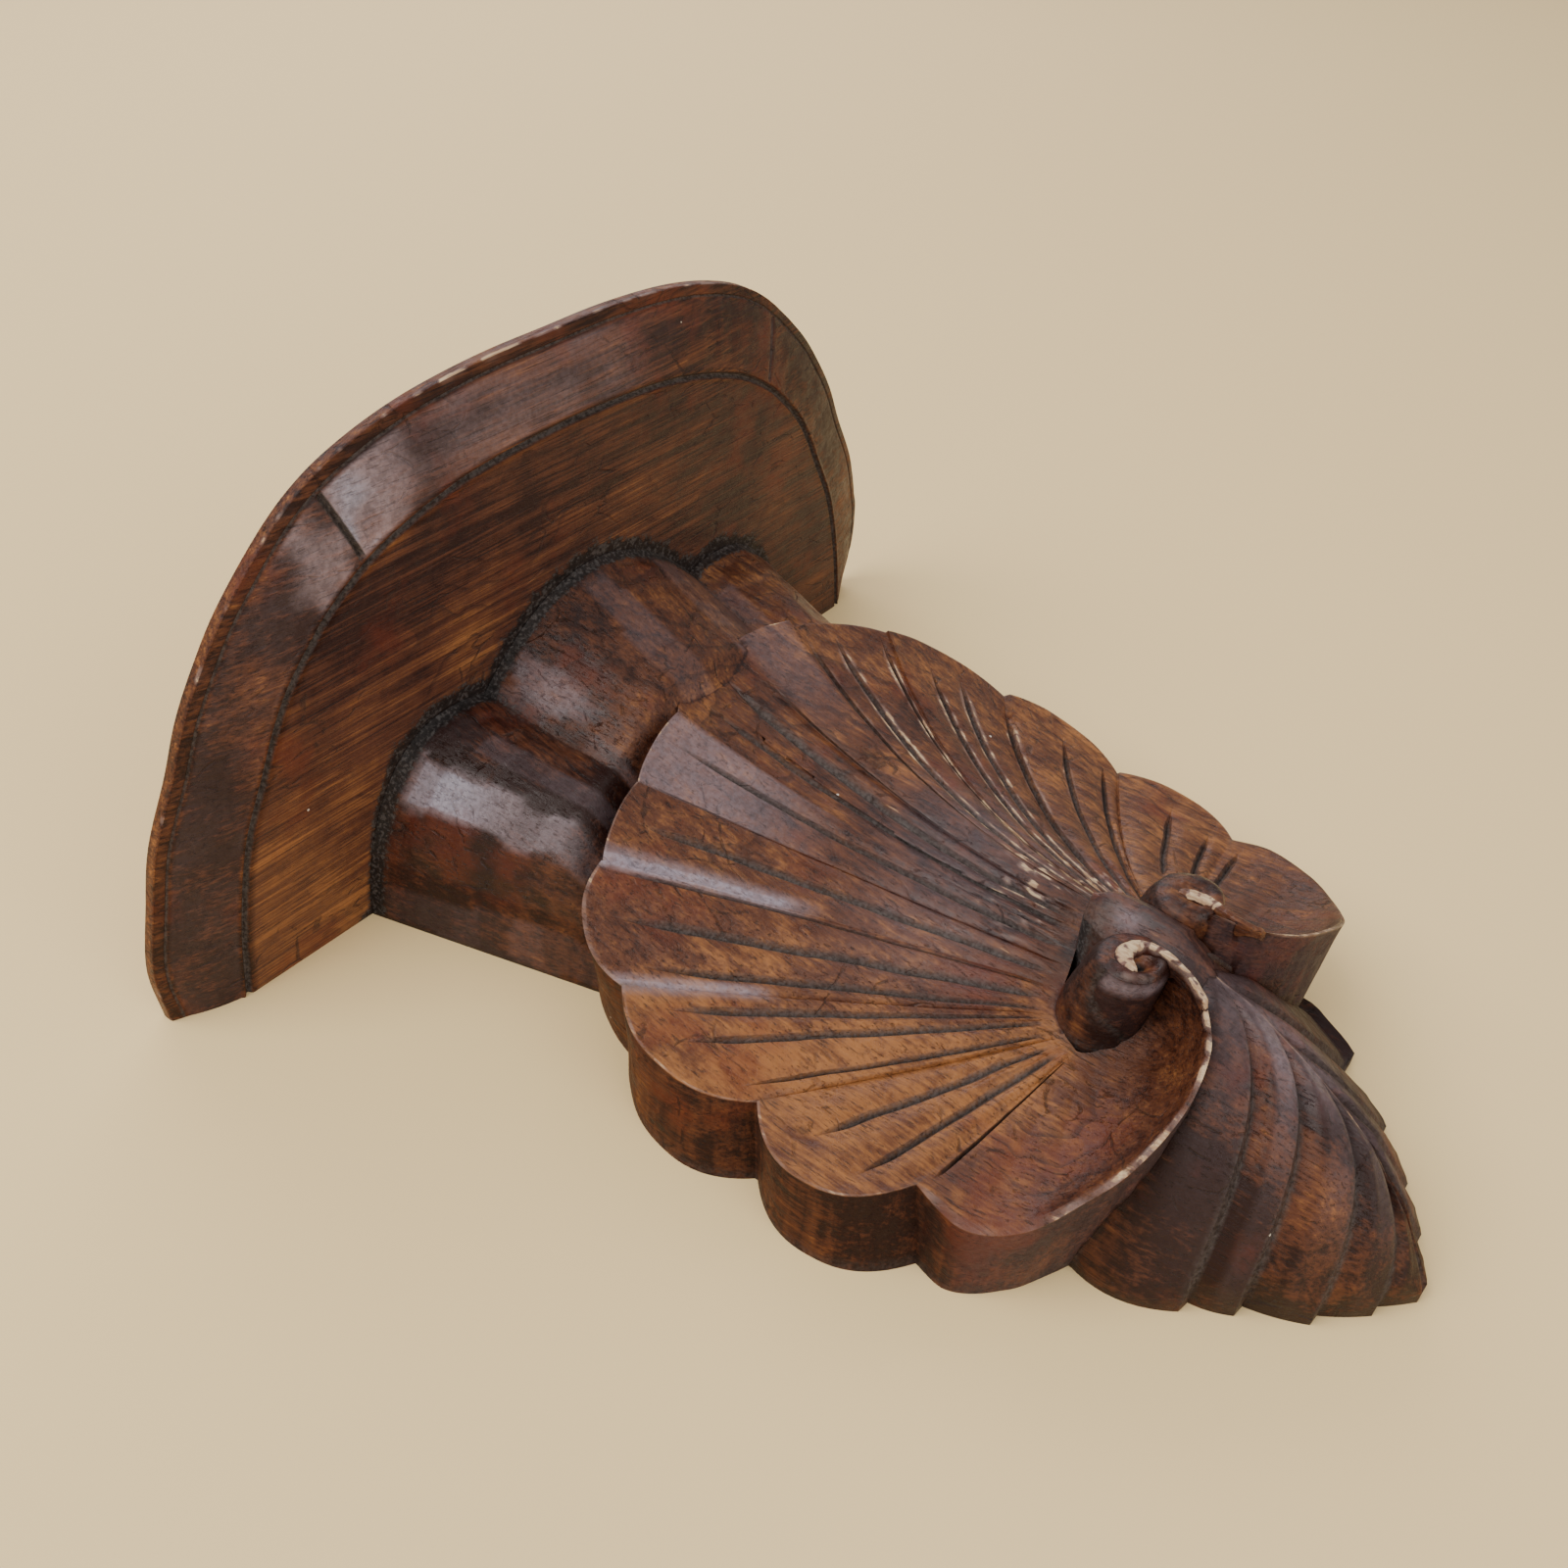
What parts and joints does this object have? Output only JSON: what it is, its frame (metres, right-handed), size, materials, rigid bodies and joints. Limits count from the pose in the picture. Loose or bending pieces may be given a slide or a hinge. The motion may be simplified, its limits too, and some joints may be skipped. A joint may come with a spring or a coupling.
{
  "type": "carved wall shelf bracket",
  "caption": "Wooden wall bracket: a small bow-fronted shelf carried by a carved shell-fan corbel that ends in a stepped leaf.",
  "frame": {"origin": "on the flat back, below the middle of the shelf, 150 mm under the plane of the shelf's underside", "axes": "+X to the right seen from the front, +Y up in use, towards the shelf, +Z out of the wall; it lies on its back as in the picture"},
  "size_m": [0.3224, 0.3182, 0.1595],
  "materials": {
    "shelf_board": "dark stained, semi-gloss, worn edges",
    "carved_corbel": "dark stained, semi-gloss, worn and rubbed on the high places"
  },
  "bodies": {
    "root": {"shelf_board": "shelf_board", "carved_corbel": "carved_corbel"}
  },
  "joints": []
}
